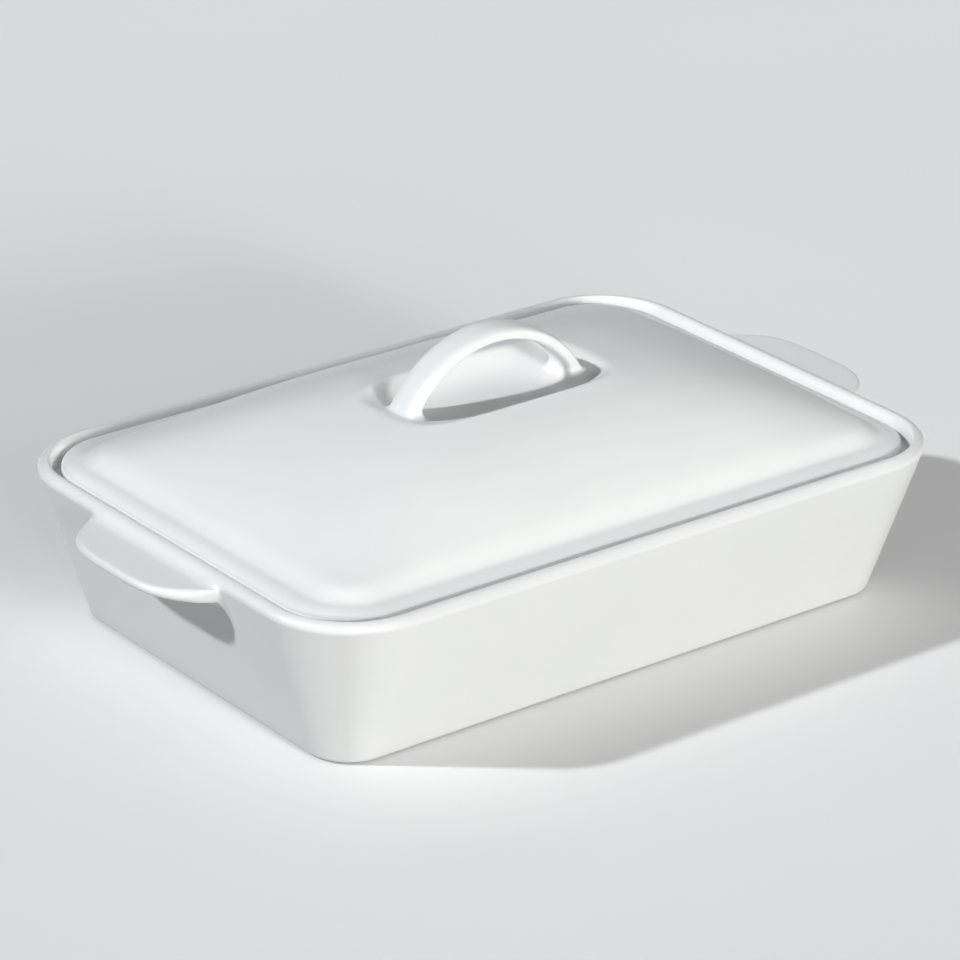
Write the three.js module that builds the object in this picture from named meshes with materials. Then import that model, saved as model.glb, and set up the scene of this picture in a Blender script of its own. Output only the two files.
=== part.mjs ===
// Lidded ceramic baking dish: a flared dish with a lug at each end, and a crowned lid with an arched
// handle standing in an oval finger recess. Millimetres, +Z up, +X along the dish, origin at the
// centre of the foot that it stands on.
import * as THREE from 'three';

// Dish
const RIM_LENGTH = 351; // outside, at the widest line of the rim
const RIM_WIDTH = 242.5;
const RIM_CORNER = 43; // plan radius of the rim's outside corners
const DISH_HEIGHT = 73.3; // to the peak of the rim
const WALL_LEAN = THREE.MathUtils.degToRad(17.5); // the walls lean out by this from upright
const WALL = 7; // wall thickness
const FLOOR_TOP = 7.5; // height of the inside floor
const FLOOR_FILLET = 12; // inside, between wall and floor
const RIM_LAND = 10; // width of the rim
const RIM_TILT = THREE.MathUtils.degToRad(50); // of the rim's crown where its edges begin
const RIM_OUTER_EDGE = 3; // rounding radii
const RIM_INNER_EDGE = 2.6;
const OPENING_CORNER_EASE = 6; // how much tighter the opening's corners are than the rim's
const LEDGE = 6; // width of the ledge that carries the lid
const LEDGE_DEPTH = 14; // height over which the wall thickens to carry it
const LEDGE_EDGE = 1;
const FOOT_EDGE = 3.5; // rounding radius under the wall
const FOOT_WIDTH = 11; // flat ring that the dish stands on
const FOOT_STEP = 1.5; // how far the middle of the base is raised

// End lugs
const LUG_WIDTH = 93; // along the wall
const LUG_REACH = 23.1; // how far a lug stands out past the rim
const LUG_DROP = 2.8; // lug top below the rim's peak
const LUG_ROOT_THICKNESS = 8;
const LUG_TIP_THICKNESS = 4.2;
const LUG_OUTLINE_POWER = 4; // 2 is a plain arc, more gives a blunter front

// Lid
const LID_GAP = 1.1; // all round, between the lid and the rim
const LID_CORNER_EASE = 6.5; // how much rounder the lid's corners are than the opening's
const LID_DROP = 1.1; // lid flange below the rim's peak
const LID_THICKNESS = 6;
const LID_EDGE = 2; // rounding radius of the flange's edge
const END_FLANGE = 9.9; // lid edge to the line that the crown springs from, at the short ends
const SIDE_FLANGE = 10.7; // and along the long sides
const CROWN_HEIGHT = 32.5; // top of the lid above its flange
const LENGTH_POWER = 3.2; // crown along the lid: 2 is a plain arc, more is flatter in the middle
const WIDTH_POWER = 3.4; // and across it
const CORNER_POWER = 2.5; // tightness of the crown's corners in plan
const COVE = 3; // height of the cove that blends the flange into the crown
const BEAD_PEAK = 5.2; // the flange is a low bead, highest this far in from the lid's edge
const BEAD_DROP = 0.9; // and this much lower at its edge and at the foot of the crown
const BEAD_FADE = 20; // width over which the crown takes up that drop
const SHOULDER_INSET = 46; // plan inset where the mesh turns from the outline to the recess
const RECESS_LENGTH = 108;
const RECESS_WIDTH = 54;
const RECESS_DEPTH = 8;
const RECESS_POWER = 3; // bluntness of the oval
const RECESS_RIM_SOFTNESS = 0.2;

// Lid handle
const ARCH_RADIUS = 55; // outer face of the arch
const ARCH_RISE = 25.3; // top of the arch above the crown
const STRAP_WIDTH = 16;
const STRAP_THICKNESS = 6;
const STRAP_EDGE = 2.4; // rounding radius of the strap's edges
const FOOT_SPREAD = 0.6; // how much the strap grows into its feet

// Fits
const SEAT_GAP = 0.3; // lid flange above its ledge
const JOINT_GAP = 0.3; // luted joints of the lugs and the handle

// Facets
const LEAST_RADIUS = 0.5;
const CORNER_STEPS = 9;
const LONG_SIDE_STEPS = 8;
const SHORT_SIDE_STEPS = 6;
const ARC_STEPS = 4;
const ARCH_STEPS = 24;
const STRAP_EDGE_STEPS = 3;
const LUG_STEPS = 20;

const HALF_LENGTH = RIM_LENGTH / 2;
const HALF_WIDTH = RIM_WIDTH / 2;
const FLANGE_Z = DISH_HEIGHT - LID_DROP;
const LEDGE_Z = FLANGE_Z - LID_THICKNESS - SEAT_GAP;
const LID_INSET = RIM_LAND + LID_GAP;
const LID_HALF_LENGTH = HALF_LENGTH - LID_INSET;
const LID_HALF_WIDTH = HALF_WIDTH - LID_INSET;
const LID_CORNER = RIM_CORNER - LID_INSET - OPENING_CORNER_EASE + LID_CORNER_EASE;

const porcelain = () => new THREE.MeshStandardMaterial({ color: 0xf1f2f2, roughness: 0.2, metalness: 0 });

// Rounded rectangle as a ring of plan points, counter-clockwise from above.
function roundedRectangle(halfLength, halfWidth, radius, cornerSteps, longSteps = 1, shortSteps = 1) {
  const r = Math.max(Math.min(radius, halfLength - LEAST_RADIUS, halfWidth - LEAST_RADIUS), LEAST_RADIUS);
  const points = [];
  for (let corner = 0; corner < 4; corner += 1) {
    const start = (corner * Math.PI) / 2;
    const cx = (halfLength - r) * (corner === 0 || corner === 3 ? 1 : -1);
    const cy = (halfWidth - r) * (corner < 2 ? 1 : -1);
    for (let step = 0; step <= cornerSteps; step += 1) {
      const angle = start + (step / cornerSteps) * (Math.PI / 2);
      points.push(new THREE.Vector2(cx + r * Math.cos(angle), cy + r * Math.sin(angle)));
    }
    const end = points.at(-1);
    const alongLength = corner % 2 === 0;
    const steps = alongLength ? longSteps : shortSteps;
    for (let step = 1; step < steps; step += 1) {
      const shift = (step / steps) * 2;
      const x = alongLength ? end.x - shift * cx : end.x;
      const y = alongLength ? end.y : end.y - shift * cy;
      points.push(new THREE.Vector2(x, y));
    }
  }
  return points;
}

// Closed solid through a row of rings, closed at both ends by a fan round the ring's centre.
function skin(rings) {
  const count = rings[0].length;
  const positions = [];
  const faces = [];
  const ringStart = (ring) => ring * count;
  const centre = (ring) => ring.reduce((sum, p) => sum.add(p), new THREE.Vector3()).divideScalar(count);
  rings.flat().forEach((p) => positions.push(p.x, p.y, p.z));
  [rings[0], rings.at(-1)].map(centre).forEach((p) => positions.push(p.x, p.y, p.z));
  const firstCentre = rings.length * count;
  for (let i = 0; i < count; i += 1) {
    const next = (i + 1) % count;
    for (let ring = 0; ring + 1 < rings.length; ring += 1) {
      const a = ringStart(ring);
      const b = ringStart(ring + 1);
      faces.push(a + i, a + next, b + next, a + i, b + next, b + i);
    }
    const last = ringStart(rings.length - 1);
    faces.push(firstCentre, next, i, firstCentre + 1, last + i, last + next);
  }
  const geometry = new THREE.BufferGeometry();
  geometry.setAttribute('position', new THREE.Float32BufferAttribute(positions, 3));
  geometry.setIndex(faces);
  geometry.computeVertexNormals();
  return geometry;
}

// Profile points (plan distance out from the rim line, height) of a rounding between two angles.
function rounding(out, z, radius, fromAngle, toAngle) {
  return Array.from({ length: ARC_STEPS + 1 }, (_, step) => {
    const angle = THREE.MathUtils.lerp(fromAngle, toAngle, step / ARC_STEPS);
    return [out + radius * Math.cos(angle), z + radius * Math.sin(angle)];
  });
}

// Half of the rim: the radius of its crown, the height of that crown's centre, and the height of the
// centre of the edge's rounding.
function rimHalf(edgeRadius) {
  const radius = edgeRadius + (RIM_LAND / 2 - edgeRadius) / Math.sin(RIM_TILT);
  const z = DISH_HEIGHT - radius;
  return { radius, z, edgeZ: z + (radius - edgeRadius) * Math.cos(RIM_TILT) };
}

// Plan distance of the outside wall from the rim's widest line, at a height.
function outsideWall(z) {
  const touchOut = RIM_OUTER_EDGE * (Math.cos(WALL_LEAN) - 1);
  const touchZ = rimHalf(RIM_OUTER_EDGE).edgeZ - RIM_OUTER_EDGE * Math.sin(WALL_LEAN);
  return touchOut + (z - touchZ) * Math.tan(WALL_LEAN);
}

// The same for a face that keeps a gap to the wall and to the outer half of the rim.
function besideWall(z, gap) {
  const rim = rimHalf(RIM_OUTER_EDGE);
  const crownRadius = rim.radius + gap;
  const edgeRadius = RIM_OUTER_EDGE + gap;
  if (z > rim.z + crownRadius * Math.cos(RIM_TILT)) {
    return Math.sqrt(crownRadius ** 2 - (z - rim.z) ** 2) - RIM_LAND / 2;
  }
  if (z > rim.edgeZ - edgeRadius * Math.sin(WALL_LEAN)) {
    return Math.sqrt(edgeRadius ** 2 - (z - rim.edgeZ) ** 2) - RIM_OUTER_EDGE;
  }
  return outsideWall(z) + gap / Math.cos(WALL_LEAN);
}

// Profile of the dish as plan distances out from the rim's widest line and heights.
function dishProfile() {
  const down = -Math.PI / 2;
  const up = Math.PI / 2;
  const footTouch = FOOT_EDGE * (1 - Math.sin(WALL_LEAN));
  const footOut = outsideWall(footTouch) - FOOT_EDGE * Math.cos(WALL_LEAN);
  const footInner = footOut - FOOT_WIDTH;
  const ledgeInner = -RIM_LAND - LEDGE;
  const outer = rimHalf(RIM_OUTER_EDGE);
  const inner = rimHalf(RIM_INNER_EDGE);
  const rimTop = (half, from, to) => rounding(-RIM_LAND / 2, half.z, half.radius, from, to).slice(1);
  const insideWall = (z) => outsideWall(z) - WALL / Math.cos(WALL_LEAN);
  const filletOut = insideWall(FLOOR_TOP) - FLOOR_FILLET * Math.tan((Math.PI / 2 - WALL_LEAN) / 2);
  const outside = [
    [footInner - FOOT_STEP, FOOT_STEP],
    [footInner, 0],
    ...rounding(footOut, FOOT_EDGE, FOOT_EDGE, down, -WALL_LEAN),
    ...rounding(-RIM_OUTER_EDGE, outer.edgeZ, RIM_OUTER_EDGE, -WALL_LEAN, up - RIM_TILT),
    ...rimTop(outer, up - RIM_TILT, up),
  ];
  const inside = [
    ...rimTop(inner, up, up + RIM_TILT),
    ...rounding(RIM_INNER_EDGE - RIM_LAND, inner.edgeZ, RIM_INNER_EDGE, up + RIM_TILT, Math.PI).slice(1),
    [-RIM_LAND, LEDGE_Z],
    [ledgeInner + LEDGE_EDGE, LEDGE_Z],
    [ledgeInner, LEDGE_Z - LEDGE_EDGE],
    [insideWall(LEDGE_Z - LEDGE_DEPTH), LEDGE_Z - LEDGE_DEPTH],
    ...rounding(filletOut, FLOOR_TOP + FLOOR_FILLET, FLOOR_FILLET, -WALL_LEAN, down),
  ];
  return { outside, inside };
}

function dishBowl() {
  const ring = (out, z, radius) =>
    roundedRectangle(HALF_LENGTH + out, HALF_WIDTH + out, radius, CORNER_STEPS).map(
      (p) => new THREE.Vector3(p.x, p.y, z),
    );
  const { outside, inside } = dishProfile();
  const ease = (out, z) => {
    const acrossRim = THREE.MathUtils.clamp((-2 * out) / RIM_LAND - 1, 0, 1);
    const nearLedge = THREE.MathUtils.clamp((z - LEDGE_Z) / LEDGE_DEPTH + 1, 0, 1);
    return OPENING_CORNER_EASE * acrossRim * nearLedge;
  };
  return skin([
    ...outside.map(([out, z]) => ring(out, z, RIM_CORNER + out)),
    ...inside.map(([out, z]) => ring(out, z, RIM_CORNER + out - ease(out, z))),
  ]);
}

// Lug at the +X end: a flat top, a round nose that thins towards the tip, and a root that lies along
// the leaning wall and the rim.
function lug() {
  const half = LUG_WIDTH / 2;
  const top = DISH_HEIGHT - LUG_DROP;
  const rootX = (z) => HALF_LENGTH + besideWall(z, JOINT_GAP);
  const outline = Array.from({ length: LUG_STEPS + 1 }, (_, step) => {
    const y = half * Math.sin((step / LUG_STEPS - 0.5) * Math.PI);
    const reach = 1 - Math.abs(y / half) ** LUG_OUTLINE_POWER;
    const slope = (LUG_OUTLINE_POWER * LUG_REACH * Math.abs(y / half) ** (LUG_OUTLINE_POWER - 1)) / half;
    const normal = new THREE.Vector2(1, Math.sign(y) * slope).normalize();
    const nose = THREE.MathUtils.lerp(LUG_ROOT_THICKNESS, LUG_TIP_THICKNESS, reach) / 2;
    return { y, reach, normal, nose };
  });
  const rings = Array.from({ length: 2 * ARC_STEPS + 1 }, (_, step) => {
    const angle = (step / (2 * ARC_STEPS) - 0.5) * Math.PI;
    return outline.map(({ y, reach, normal, nose }) => {
      const z = top - nose + nose * Math.sin(angle);
      const inset = nose * (1 - Math.cos(angle));
      const x = THREE.MathUtils.lerp(rootX(z), HALF_LENGTH + LUG_REACH - inset * normal.x, reach);
      return new THREE.Vector3(x, y - inset * normal.y, z);
    });
  });
  return skin(rings);
}

// Rise of the crowned lid above its flange, with the cove at its foot.
function crown(x, y) {
  const ends = Math.abs(x / (LID_HALF_LENGTH - END_FLANGE)) ** LENGTH_POWER;
  const sides = Math.abs(y / (LID_HALF_WIDTH - SIDE_FLANGE)) ** WIDTH_POWER;
  const fall = (ends ** CORNER_POWER + sides ** CORNER_POWER) ** (1 / CORNER_POWER);
  const rise = CROWN_HEIGHT * (1 - fall);
  return rise > COVE ? rise : Math.max(rise + COVE, 0) ** 2 / (4 * COVE);
}

// How far out a point lies in the recess: 0 at its middle, 1 on its rim.
function recessRadius(x, y) {
  const along = Math.abs(x / (RECESS_LENGTH / 2)) ** RECESS_POWER;
  const across = Math.abs(y / (RECESS_WIDTH / 2)) ** RECESS_POWER;
  return (along + across) ** (1 / RECESS_POWER);
}

function recess(x, y) {
  const inside = 1 - recessRadius(x, y) ** 4;
  return (RECESS_DEPTH * (inside + Math.hypot(inside, RECESS_RIM_SOFTNESS))) / 2;
}

// Height of the flange's bead at a plan distance in from the lid's edge. It is never above zero.
function bead(inset) {
  const fade = THREE.MathUtils.smoothstep(inset, 2 * BEAD_PEAK, 2 * BEAD_PEAK + BEAD_FADE);
  return -BEAD_DROP * (inset < 2 * BEAD_PEAK ? (inset / BEAD_PEAK - 1) ** 2 : 1 - fade);
}

// Plan distance of a point in from the lid's edge.
function lidInset(x, y) {
  const pastX = Math.abs(x) - LID_HALF_LENGTH + LID_CORNER;
  const pastY = Math.abs(y) - LID_HALF_WIDTH + LID_CORNER;
  const beyond = Math.hypot(Math.max(pastX, 0), Math.max(pastY, 0));
  return LID_CORNER - beyond - Math.min(Math.max(pastX, pastY), 0);
}

const lidTop = (x, y) => FLANGE_Z + bead(lidInset(x, y)) + crown(x, y) - recess(x, y);

// Plan rings of the lid from its edge to the middle of its recess.
function lidPlan() {
  const outline = (inset) =>
    roundedRectangle(
      LID_HALF_LENGTH - inset,
      LID_HALF_WIDTH - inset,
      LID_CORNER,
      CORNER_STEPS,
      LONG_SIDE_STEPS,
      SHORT_SIDE_STEPS,
    );
  const shoulder = outline(SHOULDER_INSET);
  const oval = shoulder.map((p) => {
    const u = (p.x / (LID_HALF_LENGTH - SHOULDER_INSET)) * (RECESS_LENGTH / 2);
    const v = (p.y / (LID_HALF_WIDTH - SHOULDER_INSET)) * (RECESS_WIDTH / 2);
    return new THREE.Vector2(u, v).divideScalar(recessRadius(u, v));
  });
  const outerRings = [0.04, 0.08, 0.13, 0.18, 0.23, 0.28, 0.34, 0.42, 0.52, 0.64, 0.8, 1].map((share) =>
    outline(LID_EDGE + share * (SHOULDER_INSET - LID_EDGE)),
  );
  const middleRings = [0.35, 0.7, 0.9].map((share) =>
    shoulder.map((p, i) => p.clone().lerp(oval[i], share)),
  );
  const recessRings = [1, 0.92, 0.82, 0.68, 0.48, 0.24].map((share) =>
    oval.map((p) => p.clone().multiplyScalar(share)),
  );
  return { edge: outline, rings: [...outerRings, ...middleRings, ...recessRings] };
}

function lidShell() {
  const { edge, rings } = lidPlan();
  const atHeight = (ring, height) => ring.map((p) => new THREE.Vector3(p.x, p.y, height(p.x, p.y)));
  const foot = FLANGE_Z - LID_THICKNESS;
  const underside = (x, y) => Math.max(lidTop(x, y) - LID_THICKNESS, foot);
  const edgeRing = ([out, z]) => edge(-out).map((p) => new THREE.Vector3(p.x, p.y, z));
  const topTurn = Math.PI / 2 - Math.atan((2 * BEAD_DROP) / BEAD_PEAK);
  const topEdge = FLANGE_Z + bead(LID_EDGE * (1 - Math.cos(topTurn))) - LID_EDGE * Math.sin(topTurn);
  return skin([
    ...rings.toReversed().map((ring) => atHeight(ring, underside)),
    ...rounding(-LID_EDGE, foot + LID_EDGE, LID_EDGE, -Math.PI / 2, 0).map(edgeRing),
    ...rounding(-LID_EDGE, topEdge, LID_EDGE, 0, topTurn).map(edgeRing),
    ...rings.map((ring) => atHeight(ring, lidTop)),
  ]);
}

// Section of the strap as shares of its width and thickness, with rounded edges.
function strapSection() {
  const points = roundedRectangle(STRAP_WIDTH / 2, STRAP_THICKNESS / 2, STRAP_EDGE, STRAP_EDGE_STEPS);
  return points.map((p) => ({ across: p.x / STRAP_WIDTH, outward: p.y / STRAP_THICKNESS + 0.5 }));
}

// Arched strap in the XZ plane. Each line along the strap runs down to the surface of the recess.
function lidHandle() {
  const centreZ = FLANGE_Z + CROWN_HEIGHT + ARCH_RISE - ARCH_RADIUS;
  const fibre = ({ across, outward }, spread) => ({
    y: across * (STRAP_WIDTH + 2 * spread),
    radius: ARCH_RADIUS - (1 - outward) * (STRAP_THICKNESS + spread),
  });
  const landing = ({ y, radius }) => {
    let low = 0;
    let high = Math.PI / 2;
    for (let pass = 0; pass < 40; pass += 1) {
      const angle = (low + high) / 2;
      const clear = centreZ + radius * Math.cos(angle) > lidTop(radius * Math.sin(angle), y) + JOINT_GAP;
      [low, high] = clear ? [angle, high] : [low, angle];
    }
    return low;
  };
  const section = strapSection();
  const landings = section.map((point) => landing(fibre(point, FOOT_SPREAD)));
  const rings = Array.from({ length: ARCH_STEPS + 1 }, (_, step) => {
    const along = (2 * step) / ARCH_STEPS - 1;
    return section.map((point, i) => {
      const { y, radius } = fibre(point, FOOT_SPREAD * Math.abs(along) ** 10);
      const angle = along * landings[i];
      return new THREE.Vector3(radius * Math.sin(angle), y, centreZ + radius * Math.cos(angle));
    });
  });
  return skin(rings);
}

function piece(name, geometry) {
  const mesh = new THREE.Mesh(geometry, porcelain());
  mesh.name = name;
  return mesh;
}

const dish = new THREE.Group();
const rightLug = piece('right_lug_handle', lug());
const leftLug = piece('left_lug_handle', lug());
leftLug.rotation.z = Math.PI;
dish.add(piece('dish_bowl', dishBowl()), leftLug, rightLug);

const lid = new THREE.Group();
lid.add(piece('lid_shell', lidShell()), piece('lid_handle', lidHandle()));

const bakingDish = new THREE.Group();
bakingDish.add(dish, lid);

export default bakingDish;
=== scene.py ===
# White glazed baking dish with a lift-off lid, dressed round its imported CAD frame. Metres, +Z up,
# +X along the dish, origin at the centre of the foot that it stands on.
import math

import bpy
import numpy as np
from mathutils import Matrix, Vector


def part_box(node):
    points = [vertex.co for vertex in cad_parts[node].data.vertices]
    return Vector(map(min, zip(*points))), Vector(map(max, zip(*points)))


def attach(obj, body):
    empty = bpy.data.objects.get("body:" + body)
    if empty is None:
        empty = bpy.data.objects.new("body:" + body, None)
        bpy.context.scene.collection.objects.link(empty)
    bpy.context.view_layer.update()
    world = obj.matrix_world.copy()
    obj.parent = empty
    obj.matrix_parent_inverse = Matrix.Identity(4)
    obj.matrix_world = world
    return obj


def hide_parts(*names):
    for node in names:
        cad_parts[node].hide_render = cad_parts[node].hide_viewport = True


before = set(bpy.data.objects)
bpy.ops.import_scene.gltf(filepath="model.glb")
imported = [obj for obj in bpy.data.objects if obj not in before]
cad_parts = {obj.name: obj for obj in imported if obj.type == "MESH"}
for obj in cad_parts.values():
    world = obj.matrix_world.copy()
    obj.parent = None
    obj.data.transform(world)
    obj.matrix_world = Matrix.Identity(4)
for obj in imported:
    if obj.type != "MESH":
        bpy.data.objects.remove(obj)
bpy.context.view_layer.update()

MM = 0.001

# Sizes that come from the frame
bowl_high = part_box("dish_bowl")[1]
lug_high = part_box("right_lug_handle")[1]
lid_low, lid_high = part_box("lid_shell")
strap_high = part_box("lid_handle")[1]

HALF_LENGTH = bowl_high.x
HALF_WIDTH = bowl_high.y
DISH_HEIGHT = bowl_high.z
LUG_TOP = lug_high.z - 0.9 * MM
LUG_HALF_WIDTH = lug_high.y
LUG_REACH = lug_high.x - HALF_LENGTH
LID_HALF_LENGTH = lid_high.x
LID_HALF_WIDTH = lid_high.y
LID_FOOT = lid_low.z
ARCH_TOP = strap_high.z

# Dish
RIM_CORNER = 43 * MM
WALL_LEAN = math.radians(17.5)
WALL = 7 * MM
FLOOR_TOP = 7.5 * MM
FLOOR_FILLET = 12 * MM
RIM_PEAK = DISH_HEIGHT + 0.4 * MM
RIM_PEAK_IN = 5.2 * MM  # from the CAD's widest line in to the peak
RIM_OPENING_IN = 9.7 * MM  # and in to the opening
RIM_OUTER_HALF = 4.25 * MM
RIM_OUTER_EDGE = 3 * MM
RIM_OUTER_TILT = math.radians(40)  # of the rim's crown where the rounding of its outer edge begins
RIM_INNER_EDGE = 8.1 * MM
RIM_INNER_TILT = math.radians(50)
OPENING_CORNER_EASE = 6 * MM
LEDGE_Z = 65.9 * MM
LEDGE = 6 * MM
LEDGE_DEPTH = 14 * MM
LEDGE_EDGE = 1 * MM
FOOT_EDGE = 3.5 * MM
FOOT_WIDTH = 11 * MM
FOOT_STEP = 1.5 * MM

# End lugs, grown out of the wall
LUG_OUTLINE_POWER = 4
LUG_ROOT_THICKNESS = 7.6 * MM
LUG_TIP_THICKNESS = 4.2 * MM
LUG_SHOULDER = 7 * MM  # concave radius where the rim drops to the lug's top
LUG_FILLET = 6 * MM  # under the lug, where it meets the wall
LUG_FLARE = 5 * MM  # the outline's run-out at both ends of the root
LUG_GROWTH = 10 * MM  # reach over which the section grows out of the plain wall
LUG_FULL_HEIGHT = 0.25  # share of that growth over which it gains its height
LUG_NOSE_SHARE = 0.7  # of the lug's top that its round nose takes at most
LUG_FILLET_SHARE = 0.5  # of the lug's underside that the fillet takes at most
LUG_ZONE_LOW = 44 * MM  # wall height under which nothing of the lug shows

# Lid
LID_CORNER = 32.4 * MM
LID_THICKNESS = 6 * MM
LID_EDGE = 2 * MM
FLANGE = 12 * MM
COVE = 3.2 * MM  # half the width of the cove at the crown's foot
SKIRT_HEIGHT = 3.4 * MM  # the crown's steep foot, along the outline
SKIRT_WIDTH = 10 * MM
DOME_HEIGHT = 28 * MM
LENGTH_POWER = 3.1
WIDTH_POWER = 3
PILLOW_WIDTH = 8.7 * MM  # the flange rises in a curve from the lid's edge over this width
END_RISE = 3.2 * MM  # at the short ends
SIDE_RISE = 1.1 * MM  # along the long sides
PILLOW_TOP = 1.1 * MM  # top of that rise above the CAD's flange
SHOULDER_INSET = 46 * MM  # ring from which the lid's rings turn into the recess's oval
RECESS_HALF_LENGTH = 55 * MM
RECESS_HALF_WIDTH = 27 * MM
RECESS_DEPTH = 8 * MM
RECESS_POWER = 4
RECESS_RIM_SOFTNESS = 0.2
LIP_HEIGHT = 0.35 * MM  # low bead round the recess
LIP_RADIUS = 1.07  # its place and width, as shares of the recess's size
LIP_SPREAD = 0.09
FLANGE_Z = LID_FOOT + LID_THICKNESS

# Lid handle
ARCH_RADIUS = 55 * MM
STRAP_WIDTH = 16 * MM
STRAP_THICKNESS = 6 * MM
STRAP_POWER = 3.8  # section: 2 is an ellipse, more is squarer
STRAP_FILLET = 3 * MM  # at the feet, outside and at the sides
STRAP_INNER_FILLET = 7 * MM  # at the feet, under the arch
FOOT_SINK = 0.12 * MM  # the fillets' edge lies this far under the glaze

# Mesh steps
CORNER_STEPS = 22
LONG_STEPS = 44
ARC_STEPS = 8
ARCH_STEPS = 96
STRAP_STEPS = 44
EDGE_STEPS = 4
LANDING_STEPS = 40  # halvings in the search for the strap's landing
SAME_PLACE = 0.01 * MM
FLAT_SHARES = (0.3, 0.7, 0.96)  # rings on the flat floor and underside, of the outermost ring there
FINE_INSET = 24 * MM  # the lid's rings lie closest from its edge in to here
RECESS_SHARES = (1.12, 0.86, 0.08)  # outside, inside and in the middle of the recess's rim

# Stations along a short side, as shares of its straight half, closer together at the lugs' roots
LUG_STATIONS = np.concatenate([
    np.linspace(0, 0.4, 9)[:-1],
    np.linspace(0.4, 0.64, 21)[:-1],
    np.linspace(0.64, 1, 8),
])
SHORT_STATIONS = np.concatenate([-LUG_STATIONS[:0:-1], LUG_STATIONS])
LONG_STATIONS = np.linspace(-1, 1, LONG_STEPS + 1)


# Mesh helpers

def lerp(a, b, t):
    return a + (b - a) * t


def plan_ring(half_length, half_width, corner):
    """Rounded rectangle, counter-clockwise from the right end's near corner, as rows of x and y."""
    dx = half_length - corner
    dy = half_width - corner
    turn = np.linspace(0, math.pi / 2, CORNER_STEPS + 1)[1:-1]
    arc = corner * np.column_stack([np.cos(turn), np.sin(turn)])
    right = np.column_stack([np.full(len(SHORT_STATIONS), half_length), SHORT_STATIONS * dy])
    back = np.column_stack([-LONG_STATIONS * dx, np.full(len(LONG_STATIONS), half_width)])
    right_back = arc + (dx, dy)
    back_left = arc[:, ::-1] * (-1, 1) + (-dx, dy)
    half = np.vstack([right, right_back, back, back_left])
    return np.vstack([half, -half])


def at_height(ring, z):
    return np.column_stack([ring, np.broadcast_to(z, len(ring))])


def skin(name, rings, materials, second_material=(), sharp_ends=False):
    """Closed mesh through a row of rings, closed at both ends by a fan. Bands of rings whose number
    is in second_material take the second material. Sharp ends keep the fans out of the shading."""
    count = len(rings[0])
    points = np.vstack([*rings, rings[0].mean(axis=0), rings[-1].mean(axis=0)])
    first_centre = len(rings) * count
    here = np.arange(count)
    after = (here + 1) % count
    faces = []
    slots = []
    for band in range(len(rings) - 1):
        a = band * count
        b = a + count
        faces += np.column_stack([a + here, a + after, b + after, b + here]).tolist()
        slots += [int(band in second_material)] * count
    last = (len(rings) - 1) * count
    faces += np.column_stack([np.full(count, first_centre), after, here]).tolist()
    faces += np.column_stack([last + here, last + after, np.full(count, first_centre + 1)]).tolist()
    slots += [0] * (2 * count)
    mesh = bpy.data.meshes.new(name)
    mesh.from_pydata(points.tolist(), [], faces)
    mesh.polygons.foreach_set("material_index", slots)
    mesh.polygons.foreach_set("use_smooth", [True] * len(faces))
    for material in materials:
        mesh.materials.append(material)
    mesh.update()
    if sharp_ends:
        for edge in mesh.edges:
            a, b = edge.vertices
            edge.use_edge_sharp = max(a, b) < count or min(a, b) >= last and max(a, b) < first_centre
    obj = bpy.data.objects.new(name, mesh)
    bpy.context.scene.collection.objects.link(obj)
    return obj


def rounding(out, z, radius, from_angle, to_angle, steps=ARC_STEPS):
    """Profile points (out, height) of a rounding between two angles."""
    angles = np.linspace(from_angle, to_angle, steps + 1)
    return np.column_stack([out + radius * np.cos(angles), z + radius * np.sin(angles)])


def bend(a, b, c, steps=ARC_STEPS):
    """Curve from a to c that leaves and arrives along the lines to b."""
    a, b, c = np.array(a), np.array(b), np.array(c)
    shares = np.linspace(0, 1, steps + 1)
    return np.array([(1 - t) ** 2 * a + 2 * t * (1 - t) * b + t ** 2 * c for t in shares])


def straight(a, b, steps):
    """Points between a and b, both ends left out."""
    t = np.linspace(0, 1, steps + 2)[1:-1, None]
    return (1 - t) * np.array(a) + t * np.array(b)


# Dish

def rim_crown(half, edge_radius, tilt):
    """Radius of the rim's crown on one side of its peak, beside an edge with this rounding."""
    return edge_radius + (half - edge_radius) / math.sin(tilt)


def rim_half(half, edge_radius, tilt, last_tilt):
    """Half of the rim's profile, from its peak out to last_tilt, as rows of (distance, height)."""
    radius = rim_crown(half, edge_radius, tilt)
    centre_z = RIM_PEAK - radius
    edge_z = centre_z + (radius - edge_radius) * math.cos(tilt)
    crown_tilts = np.linspace(0, tilt, ARC_STEPS + 1)[:, None]
    edge_tilts = np.linspace(tilt, last_tilt, ARC_STEPS + 1)[1:, None]
    arc = np.hstack([np.sin(crown_tilts), np.cos(crown_tilts)])
    edge = np.hstack([np.sin(edge_tilts), np.cos(edge_tilts)])
    return np.vstack([
        arc * radius + (0, centre_z),
        edge * edge_radius + (half - edge_radius, edge_z),
    ])


OUTER_RIM = rim_half(RIM_OUTER_HALF, RIM_OUTER_EDGE, RIM_OUTER_TILT, math.pi / 2 + WALL_LEAN)[::-1]
OUTER_RIM = OUTER_RIM - (RIM_PEAK_IN, 0)
INNER_RIM = rim_half(RIM_OPENING_IN - RIM_PEAK_IN, RIM_INNER_EDGE, RIM_INNER_TILT, math.pi / 2)
INNER_RIM = INNER_RIM * (-1, 1) - (RIM_PEAK_IN, 0)


def outside_wall(z):
    """Plan distance of the outside wall from the rim's widest line, at a height."""
    touch_out, touch_z = OUTER_RIM[0]
    return touch_out + (z - touch_z) * math.tan(WALL_LEAN)


def plain_out(z):
    """The same for the wall and the outer half of the rim together."""
    on_rim = np.interp(z, OUTER_RIM[:, 1], OUTER_RIM[:, 0])
    return np.where(z < OUTER_RIM[0, 1], outside_wall(z), on_rim)


def inside_wall(z):
    return outside_wall(z) - WALL / math.cos(WALL_LEAN)


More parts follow.
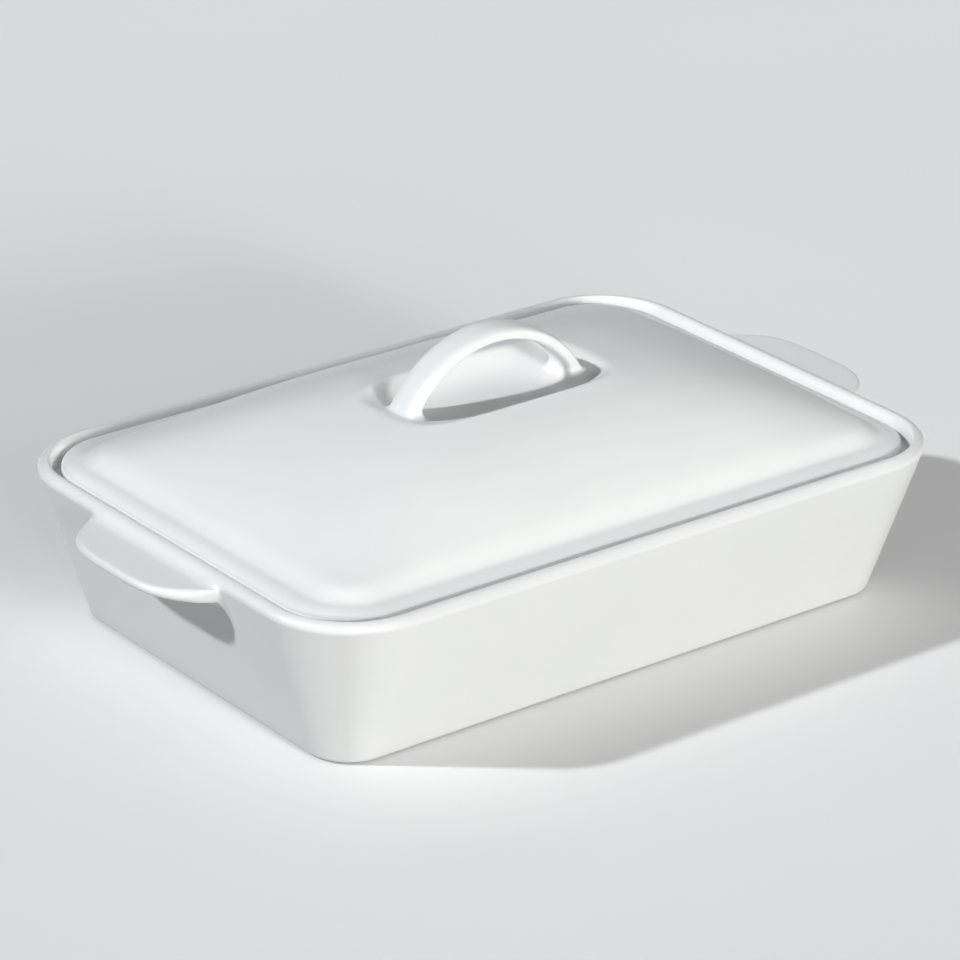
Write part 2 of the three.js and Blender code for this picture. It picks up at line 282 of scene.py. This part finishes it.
def lug_reach(y):
    """How far the lug stands out at a place along the wall, with its run-out, and its plan slope."""
    share = np.abs(y) / LUG_HALF_WIDTH
    full = LUG_REACH * (1 - share ** LUG_OUTLINE_POWER)
    run_out = np.maximum(full + LUG_FLARE, 0) ** 2 / (4 * LUG_FLARE)
    slope = LUG_OUTLINE_POWER * LUG_REACH * share ** (LUG_OUTLINE_POWER - 1) / LUG_HALF_WIDTH
    return np.where(full > LUG_FLARE, full, run_out), slope


def lug_section(reach, slope):
    """Profile from the wall under a lug, round its nose and up to the peak of the rim."""
    nose = lerp(LUG_ROOT_THICKNESS, LUG_TIP_THICKNESS, reach / LUG_REACH) / 2
    crown_radius = rim_crown(RIM_OUTER_HALF, RIM_OUTER_EDGE, RIM_OUTER_TILT)
    radii = crown_radius + LUG_SHOULDER
    steepest = math.acos(1 - (RIM_PEAK - LUG_TOP) / radii)
    shoulder_out = radii * math.sin(steepest) - RIM_PEAK_IN
    depth = min(nose * math.hypot(1, slope), LUG_NOSE_SHARE * (reach - shoulder_out))
    root_z = LUG_TOP - LUG_ROOT_THICKNESS
    root = np.array([outside_wall(root_z), root_z])
    nose_low = np.array([reach - depth, LUG_TOP - 2 * nose])
    run = nose_low - root
    fillet_start = [outside_wall(root_z - LUG_FILLET), root_z - LUG_FILLET]
    fillet_end = root + run * min(LUG_FILLET_SHARE, LUG_FILLET / np.hypot(*run))
    turn = np.linspace(-math.pi / 2, math.pi / 2, 2 * ARC_STEPS + 1)
    nose_arc = np.column_stack([
        reach - depth + depth * np.cos(turn),
        LUG_TOP - nose + nose * np.sin(turn),
    ])
    upright = math.pi / 2
    concave = rounding(
        shoulder_out, LUG_TOP + LUG_SHOULDER, LUG_SHOULDER, -upright, -upright - steepest)
    convex = rounding(
        -RIM_PEAK_IN, RIM_PEAK - crown_radius, crown_radius, upright - steepest, upright)
    return np.vstack([
        straight([outside_wall(LUG_ZONE_LOW), LUG_ZONE_LOW], fillet_start, 4),
        bend(fillet_start, root, fillet_end),
        straight(fillet_end, nose_low, 3),
        nose_arc,
        straight([reach - depth, LUG_TOP], [shoulder_out, LUG_TOP], 5),
        concave,
        convex[1:],
    ])


def side_rings():
    """Rings of the outside wall from under the lugs to the peak of the rim, lugs included."""
    rim = plan_ring(HALF_LENGTH, HALF_WIDTH, RIM_CORNER)
    straight_half = HALF_WIDTH - RIM_CORNER
    at_end = np.abs(rim[:, 0]) > HALF_LENGTH - SAME_PLACE
    on_straight = np.abs(rim[:, 1]) <= straight_half
    reach, slope = lug_reach(rim[:, 1])
    stations = np.flatnonzero(at_end & on_straight & (reach > 0))
    count = len(lug_section(LUG_REACH, 0))
    low = [outside_wall(LUG_ZONE_LOW), LUG_ZONE_LOW]
    plain = np.vstack([straight(low, OUTER_RIM[0], count - len(OUTER_RIM)), OUTER_RIM])
    sections = {}
    for station in stations:
        out, z = lug_section(max(reach[station], LUG_GROWTH), slope[station]).T
        share = min(reach[station] / LUG_GROWTH, 1)
        height = min(share / LUG_FULL_HEIGHT, 1)
        grown_z = lerp(plain[:, 1], z, height ** 2 * (3 - 2 * height))
        grown_out = plain_out(grown_z) + (out - plain_out(z)) * share
        sections[station] = np.column_stack([grown_out, grown_z])
    rings = []
    for step in range(count):
        out, z = plain[step]
        ring = at_height(plan_ring(HALF_LENGTH + out, HALF_WIDTH + out, RIM_CORNER + out), z)
        for station, section in sections.items():
            side = math.copysign(1, rim[station, 0])
            ring[station, 0] = side * (HALF_LENGTH + section[step, 0])
            ring[station, 2] = section[step, 1]
        rings.append(ring)
    return rings


def dish_ring(out, z, ease=0.0):
    return at_height(plan_ring(HALF_LENGTH + out, HALF_WIDTH + out, RIM_CORNER + out - ease), z)


def dish(glaze, bisque):
    down = -math.pi / 2
    foot_touch = FOOT_EDGE * (1 - math.sin(WALL_LEAN))
    foot_out = outside_wall(foot_touch) - FOOT_EDGE * math.cos(WALL_LEAN)
    foot_in = foot_out - FOOT_WIDTH
    step_top = (foot_in - FOOT_STEP * 1.5, FOOT_STEP)
    step_middle = (foot_in - FOOT_STEP / 2, FOOT_STEP / 2)
    foot_start = (foot_in + FOOT_STEP, 0)
    base = [(foot_in - FOOT_STEP * 2, FOOT_STEP)]
    base += bend(step_top, (foot_in - FOOT_STEP, FOOT_STEP), step_middle, EDGE_STEPS).tolist()
    base += bend(step_middle, (foot_in, 0), foot_start, EDGE_STEPS)[1:].tolist()
    foot_band = len(base)
    base += straight(foot_start, (foot_out, 0), 2).tolist()
    base += rounding(foot_out, FOOT_EDGE, FOOT_EDGE, down, -WALL_LEAN).tolist()
    wall_low = base[-1]
    wall = straight(wall_low, (outside_wall(LUG_ZONE_LOW), LUG_ZONE_LOW), 7).tolist()
    wall += [(outside_wall(LUG_ZONE_LOW), LUG_ZONE_LOW)]

    ledge_out = -RIM_OPENING_IN
    ledge_in = ledge_out - LEDGE
    ledge_root = (ledge_out, LEDGE_Z + LEDGE_EDGE)
    ledge_start = (ledge_out - LEDGE_EDGE, LEDGE_Z)
    ledge_end = (ledge_in + LEDGE_EDGE, LEDGE_Z)
    fillet_out = inside_wall(FLOOR_TOP) - FLOOR_FILLET * math.tan((math.pi / 2 - WALL_LEAN) / 2)
    fillet = rounding(fillet_out, FLOOR_TOP + FLOOR_FILLET, FLOOR_FILLET, -WALL_LEAN, down)
    under_ledge = (inside_wall(LEDGE_Z - LEDGE_DEPTH), LEDGE_Z - LEDGE_DEPTH)
    wall_top_z = LEDGE_Z - 2 * LEDGE_DEPTH
    wall_top = (inside_wall(wall_top_z), wall_top_z)
    inside = np.vstack([
        INNER_RIM[1:],
        straight(INNER_RIM[-1], ledge_root, 2),
        bend(ledge_root, (ledge_out, LEDGE_Z), ledge_start, EDGE_STEPS),
        straight(ledge_start, ledge_end, 2),
        bend(ledge_end, (ledge_in, LEDGE_Z), (ledge_in, LEDGE_Z - LEDGE_EDGE), EDGE_STEPS),
        bend((ledge_in, LEDGE_Z - 2 * LEDGE_EDGE), under_ledge, wall_top),
        straight(wall_top, fillet[0], 5),
        fillet,
    ])
    near_ledge = np.clip((inside[:, 1] - LEDGE_Z) / LEDGE_DEPTH + 1, 0, 1)
    near_ledge *= np.clip((-inside[:, 0] - RIM_PEAK_IN) / (RIM_OPENING_IN - RIM_PEAK_IN), 0, 1)

    base_rings = [dish_ring(out, z) for out, z in base]
    floor_ring = dish_ring(*fillet[-1])
    middle = [base_rings[0] * (share, share, 1) for share in FLAT_SHARES]
    bottom = [floor_ring * (share, share, 1) for share in FLAT_SHARES[::-1]]
    rings = [
        *middle,
        *base_rings,
        *[dish_ring(out, z) for out, z in wall],
        *side_rings(),
        *[dish_ring(out, z, OPENING_CORNER_EASE * near) for (out, z), near in zip(inside, near_ledge)],
        *bottom,
    ]
    first_foot_band = len(middle) + foot_band - 1
    return skin("glazed_dish", rings, [glaze, bisque], range(first_foot_band, first_foot_band + 3))


# Lid

def soft(value, width):
    """The value where it is above 0, with a rounded change from 0 over a width on both sides."""
    return np.where(value > width, value, np.maximum(value + width, 0) ** 2 / (4 * width))


def crown(x, y, inset):
    """Rise of the lid inside its flange: a low skirt along the outline and a dome over it."""
    half_length = LID_HALF_LENGTH - FLANGE
    half_width = LID_HALF_WIDTH - FLANGE
    along = soft(1 - np.abs(x / half_length) ** LENGTH_POWER, COVE * LENGTH_POWER / half_length)
    across = soft(1 - np.abs(y / half_width) ** WIDTH_POWER, COVE * WIDTH_POWER / half_width)
    skirt = 1 - np.maximum(1 - soft(inset - FLANGE, COVE) / SKIRT_WIDTH, 0) ** 3
    return SKIRT_HEIGHT * skirt + DOME_HEIGHT * along * across


def recess_radius(x, y):
    """How far out a point lies in the recess: 0 at its middle, 1 on its rim."""
    along = np.abs(x / RECESS_HALF_LENGTH) ** RECESS_POWER
    across = np.abs(y / RECESS_HALF_WIDTH) ** RECESS_POWER
    return (along + across) ** (1 / RECESS_POWER)


def lid_edge(x, y):
    """Distance in from the lid's edge, and how far that edge is an end: 1 there, 0 along a side."""
    past_x = np.abs(x) - LID_HALF_LENGTH + LID_CORNER
    past_y = np.abs(y) - LID_HALF_WIDTH + LID_CORNER
    round_x = np.maximum(past_x, 0)
    round_y = np.maximum(past_y, 0)
    beyond = np.hypot(round_x, round_y)
    inset = LID_CORNER - beyond - np.minimum(np.maximum(past_x, past_y), 0)
    return inset, round_x ** 2 / np.maximum(beyond ** 2, 1e-12)


def pillow(inset, end):
    """Height of the flange's curve at a distance in from the lid's edge."""
    return PILLOW_TOP - lerp(SIDE_RISE, END_RISE, end) * np.maximum(1 - inset / PILLOW_WIDTH, 0) ** 2


def lid_top(x, y):
    radius = recess_radius(x, y)
    inside = 1 - radius ** 4
    recess = RECESS_DEPTH * (inside + np.hypot(inside, RECESS_RIM_SOFTNESS)) / 2
    lip = LIP_HEIGHT * np.exp(-((radius - LIP_RADIUS) / LIP_SPREAD) ** 2)
    inset, end = lid_edge(x, y)
    return FLANGE_Z + pillow(inset, end) + crown(x, y, inset) - recess + lip


def lid(glaze):
    def outline(inset):
        return plan_ring(LID_HALF_LENGTH - inset, LID_HALF_WIDTH - inset, LID_CORNER)

    shoulder = outline(SHOULDER_INSET)
    oval = shoulder / (LID_HALF_LENGTH - SHOULDER_INSET, LID_HALF_WIDTH - SHOULDER_INSET)
    oval = oval * (RECESS_HALF_LENGTH, RECESS_HALF_WIDTH)
    oval = oval / recess_radius(oval[:, 0], oval[:, 1])[:, None]
    flange_insets = np.linspace(LID_EDGE / 2, FINE_INSET, 24)
    crown_insets = np.linspace(FINE_INSET, SHOULDER_INSET, 9)[1:]
    outside, inside, middle = RECESS_SHARES
    plan = [outline(inset) for inset in (*flange_insets, *crown_insets)]
    plan += [lerp(shoulder, oval * outside, share) for share in np.linspace(0, 1, 9)[1:]]
    plan += [oval * share for share in np.linspace(outside, inside, 14)[1:]]
    plan += [oval * share for share in np.linspace(inside, middle, 17)[1:]]

    top = [at_height(ring, lid_top(ring[:, 0], ring[:, 1])) for ring in plan]
    under = [at_height(ring[:, :2], np.maximum(ring[:, 2] - LID_THICKNESS, LID_FOOT)) for ring in top]
    low_edge = rounding(-LID_EDGE, LID_FOOT + LID_EDGE, LID_EDGE, -math.pi / 2, 0)
    edge = [at_height(outline(-out), z) for out, z in low_edge]
    brow = at_height(outline(0), top[0][:, 2] - LID_EDGE / 2)
    corner = at_height(outline(0), top[0][:, 2])
    edge += list(bend(brow, corner, top[0])[:-1])
    return skin("glazed_lid", [*under[::-1], *edge, *top], [glaze])


# Lid handle

def strap_section():
    """Strap's outline as rows of (across, outward), across from the middle and outward from the inner
    face, with the outline's own normals."""
    turn = np.linspace(0, 2 * math.pi, STRAP_STEPS, endpoint=False)
    across = np.sign(np.cos(turn)) * np.abs(np.cos(turn)) ** (2 / STRAP_POWER)
    outward = np.sign(np.sin(turn)) * np.abs(np.sin(turn)) ** (2 / STRAP_POWER)
    steep_across = np.sign(across) * np.abs(across) ** (STRAP_POWER - 1) / STRAP_WIDTH
    steep_outward = np.sign(outward) * np.abs(outward) ** (STRAP_POWER - 1) / STRAP_THICKNESS
    normals = np.column_stack([steep_across, steep_outward])
    normals /= np.linalg.norm(normals, axis=1)[:, None]
    points = np.column_stack([across * STRAP_WIDTH / 2, (outward + 1) * STRAP_THICKNESS / 2])
    return points, normals


def strap(glaze):
    """Arch whose every line runs down to the lid and flares into it with a fillet."""
    centre_z = ARCH_TOP - ARCH_RADIUS
    section, normals = strap_section()
    across = section[:, 0]
    radius = ARCH_RADIUS - STRAP_THICKNESS + section[:, 1]
    low = np.zeros(len(across))
    high = np.full(len(across), math.pi / 2)
    for _ in range(LANDING_STEPS):
        angle = (low + high) / 2
        clear = centre_z + radius * np.cos(angle) > lid_top(radius * np.sin(angle), across)
        low = np.where(clear, angle, low)
        high = np.where(clear, high, angle)
    landing = low
    inner = np.clip(-normals[:, 1], 0, 1)
    fillet = lerp(STRAP_FILLET, STRAP_INNER_FILLET, inner)
    landing_z = centre_z + radius * np.cos(landing)

    rings = []
    ease = np.sin(np.linspace(-math.pi / 2, math.pi / 2, ARCH_STEPS + 1))
    for along in ease:
        angle = along * landing
        side = math.copysign(1, along)
        left = radius * (landing - np.abs(angle))
        near = np.clip(1 - left / fillet, 0, 1)
        spread = fillet * (1 - np.sqrt(1 - near ** 2))
        x = radius * np.sin(angle) + side * normals[:, 1] * spread
        y = across + normals[:, 0] * spread
        settle = (lid_top(x, y) - FOOT_SINK - landing_z) * near ** 2
        z = centre_z + radius * np.cos(angle) + settle
        rings.append(np.column_stack([x, y, z]))
    return skin("glazed_strap", rings, [glaze], sharp_ends=True)


# Materials

GLAZE_LOW = (0.855, 0.865, 0.865)
GLAZE_HIGH = (0.885, 0.89, 0.885)
GLAZE_ROUGHNESS = (0.38, 0.46)
RIPPLE_HEIGHT = 0.05 * MM
PEEL_HEIGHT = 0.003 * MM
CLAY_LOW = (0.68, 0.63, 0.56)
CLAY_HIGH = (0.8, 0.76, 0.69)
CLAY_ROUGHNESS = (0.75, 0.95)
GRAIN_HEIGHT = 0.08 * MM
FLOOR_LOW = (0.78, 0.78, 0.78)
FLOOR_HIGH = (0.8, 0.8, 0.8)
FLOOR_BOUNCE = (0.26, 0.26, 0.26)  # floor's colour to the light that it throws back on the dish
FLOOR_GLOW = 0.1
NOISE_LOW = 0.2  # the noise values that count as lowest and highest
NOISE_HIGH = 0.8


def new_material(name):
    material = bpy.data.materials.new(name)
    material.use_nodes = True
    nodes = material.node_tree.nodes
    return material, nodes, material.node_tree.links, nodes["Principled BSDF"]


def noise(nodes, links, coordinates, scale, detail):
    texture = nodes.new("ShaderNodeTexNoise")
    texture.inputs["Scale"].default_value = scale
    texture.inputs["Detail"].default_value = detail
    links.new(coordinates.outputs["Object"], texture.inputs["Vector"])
    return texture.outputs["Fac"]


def ramp(nodes, links, value, low, high):
    """Colour that runs from low to high with a noise value."""
    colours = nodes.new("ShaderNodeValToRGB")
    colours.color_ramp.interpolation = "EASE"
    colours.color_ramp.elements[0].position = NOISE_LOW
    colours.color_ramp.elements[0].color = (*low, 1)
    colours.color_ramp.elements[1].position = NOISE_HIGH
    colours.color_ramp.elements[1].color = (*high, 1)
    links.new(value, colours.inputs["Fac"])
    return colours.outputs["Color"]


def spread(nodes, links, value, low, high):
    """Number that runs from low to high with a noise value."""
    scaled = nodes.new("ShaderNodeMapRange")
    scaled.interpolation_type = "SMOOTHSTEP"
    scaled.inputs["From Min"].default_value = NOISE_LOW
    scaled.inputs["From Max"].default_value = NOISE_HIGH
    scaled.inputs["To Min"].default_value = low
    scaled.inputs["To Max"].default_value = high
    links.new(value, scaled.inputs["Value"])
    return scaled.outputs["Result"]


def bump(nodes, links, value, height, below=None):
    relief = nodes.new("ShaderNodeBump")
    relief.inputs["Distance"].default_value = height
    links.new(value, relief.inputs["Height"])
    if below is not None:
        links.new(below, relief.inputs["Normal"])
    return relief.outputs["Normal"]


def glaze_material():
    """Glossy white glaze: faint clouds in the white, a slow ripple and a fine orange peel."""
    material, nodes, links, shader = new_material("white_glaze")
    coordinates = nodes.new("ShaderNodeTexCoord")
    clouds = noise(nodes, links, coordinates, 22, 4)
    ripple = noise(nodes, links, coordinates, 60, 2)
    peel = noise(nodes, links, coordinates, 700, 2)
    links.new(ramp(nodes, links, clouds, GLAZE_LOW, GLAZE_HIGH), shader.inputs["Base Color"])
    links.new(spread(nodes, links, ripple, *GLAZE_ROUGHNESS), shader.inputs["Roughness"])
    shader.inputs["Specular IOR Level"].default_value = 0.4
    shader.inputs["Coat Weight"].default_value = 0.1
    shader.inputs["Coat Roughness"].default_value = 0.14
    relief = bump(nodes, links, ripple, RIPPLE_HEIGHT)
    relief = bump(nodes, links, peel, PEEL_HEIGHT, relief)
    links.new(relief, shader.inputs["Normal"])
    return material


def bisque_material():
    """Bare fired clay of the foot: matt, warm and finely grained."""
    material, nodes, links, shader = new_material("bare_clay")
    coordinates = nodes.new("ShaderNodeTexCoord")
    grain = noise(nodes, links, coordinates, 900, 6)
    links.new(ramp(nodes, links, grain, CLAY_LOW, CLAY_HIGH), shader.inputs["Base Color"])
    links.new(spread(nodes, links, grain, *CLAY_ROUGHNESS), shader.inputs["Roughness"])
    links.new(bump(nodes, links, grain, GRAIN_HEIGHT), shader.inputs["Normal"])
    return material


def floor_material():
    """Pale matt floor. It looks paler than it is to the light that it throws back on the dish."""
    material, nodes, links, shader = new_material("pale_floor")
    coordinates = nodes.new("ShaderNodeTexCoord")
    clouds = noise(nodes, links, coordinates, 3, 3)
    pale = ramp(nodes, links, clouds, FLOOR_LOW, FLOOR_HIGH)
    path = nodes.new("ShaderNodeLightPath")
    seen = path.outputs["Is Camera Ray"]
    for ray in ("Is Glossy Ray", "Is Transmission Ray"):
        either = nodes.new("ShaderNodeMath")
        either.operation = "MAXIMUM"
        links.new(seen, either.inputs[0])
        links.new(path.outputs[ray], either.inputs[1])
        seen = either.outputs[0]
    mix = nodes.new("ShaderNodeMix")
    mix.data_type = "RGBA"
    mix.inputs["A"].default_value = (*FLOOR_BOUNCE, 1)
    links.new(seen, mix.inputs["Factor"])
    links.new(pale, mix.inputs["B"])
    links.new(mix.outputs["Result"], shader.inputs["Base Color"])
    shader.inputs["Roughness"].default_value = 0.8
    glow = nodes.new("ShaderNodeMath")
    glow.operation = "MULTIPLY"
    glow.inputs[1].default_value = FLOOR_GLOW
    links.new(seen, glow.inputs[0])
    shader.inputs["Emission Color"].default_value = (1, 1, 1, 1)
    links.new(glow.outputs[0], shader.inputs["Emission Strength"])
    return material


glaze = glaze_material()
bisque = bisque_material()

dish_piece = dish(glaze, bisque)
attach(dish_piece, "dish")
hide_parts("dish_bowl", "left_lug_handle", "right_lug_handle")

lid_piece = lid(glaze)
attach(lid_piece, "lid")
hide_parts("lid_shell")

strap_piece = strap(glaze)
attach(strap_piece, "lid")
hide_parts("lid_handle")


# Studio

FLOOR_HALF = 5.0
FLOOR_Z = -0.2 * MM

COOL = (0.955, 0.975, 1.0)
NEUTRAL = (1.0, 1.0, 0.975)

# Name, where the light comes from, spread in degrees, strength and colour
LAMPS = (
    ("key", (-0.718, 0.325, 0.614), 3, 2.28, COOL),
    ("front", (0.0, -0.978, 0.208), 10, 1.8, NEUTRAL),
    ("front_high", (0.0, -0.899, 0.438), 14, 0.3, NEUTRAL),
    ("front_left", (-0.335, -0.919, 0.208), 10, 0.55, NEUTRAL),
    ("front_right", (0.335, -0.919, 0.208), 10, 0.12, NEUTRAL),
    ("high_front", (0.41, -0.709, 0.574), 23, 0.1, NEUTRAL),
    ("back_right", (0.41, 0.709, 0.574), 23, 0.09, COOL),
    ("back", (0.0, 0.819, 0.574), 23, 0.12, COOL),
)
SURROUNDINGS_STRENGTH = 0.08


def floor():
    mesh = bpy.data.meshes.new("floor")
    signs = ((-1, -1), (1, -1), (1, 1), (-1, 1))
    corners = [(x * FLOOR_HALF, y * FLOOR_HALF, FLOOR_Z) for x, y in signs]
    mesh.from_pydata(corners, [], [(0, 1, 2, 3)])
    mesh.materials.append(floor_material())
    obj = bpy.data.objects.new("floor", mesh)
    bpy.context.scene.collection.objects.link(obj)


def lamp(name, comes_from, spread_degrees, strength, colour):
    """Far-off lamp of an even strength, so that the floor is lit evenly too."""
    direction = Vector(comes_from)
    data = bpy.data.lights.new(name, "SUN")
    data.angle = math.radians(spread_degrees)
    data.energy = strength
    data.color = colour
    obj = bpy.data.objects.new(name, data)
    bpy.context.scene.collection.objects.link(obj)
    obj.location = direction * 2
    obj.rotation_euler = direction.to_track_quat("Z", "Y").to_euler()


def surroundings():
    world = bpy.data.worlds.new("studio")
    world.use_nodes = True
    background = world.node_tree.nodes["Background"]
    background.inputs["Color"].default_value = (*COOL, 1)
    background.inputs["Strength"].default_value = SURROUNDINGS_STRENGTH
    bpy.context.scene.world = world


def camera():
    """Camera at the photograph's viewing angle, fitted to the outline of the dish."""
    azimuth = math.radians(-38.522)
    elevation = math.radians(23.882)
    roll = math.radians(1.042)
    distance = 1.98348
    target = Vector((0.028774, 0.039667, 0.035))
    focal_pixels = 4383
    frame_pixels = 960
    back = Vector((
        math.sin(azimuth) * math.cos(elevation),
        -math.cos(azimuth) * math.cos(elevation),
        math.sin(elevation),
    ))
    right = Vector((0, 0, 1)).cross(back).normalized()
    up = back.cross(right)
    tilted_right = right * math.cos(roll) + up * math.sin(roll)
    tilted_up = up * math.cos(roll) - right * math.sin(roll)
    data = bpy.data.cameras.new("camera")
    data.lens = focal_pixels / frame_pixels * data.sensor_width
    obj = bpy.data.objects.new("camera", data)
    turn = Matrix((tilted_right, tilted_up, back)).transposed()
    obj.matrix_world = Matrix.Translation(target + back * distance) @ turn.to_4x4()
    bpy.context.scene.collection.objects.link(obj)
    bpy.context.scene.camera = obj


floor()
for settings in LAMPS:
    lamp(*settings)
surroundings()
camera()
bpy.context.scene.view_settings.view_transform = "Standard"

bpy.context.view_layer.update()
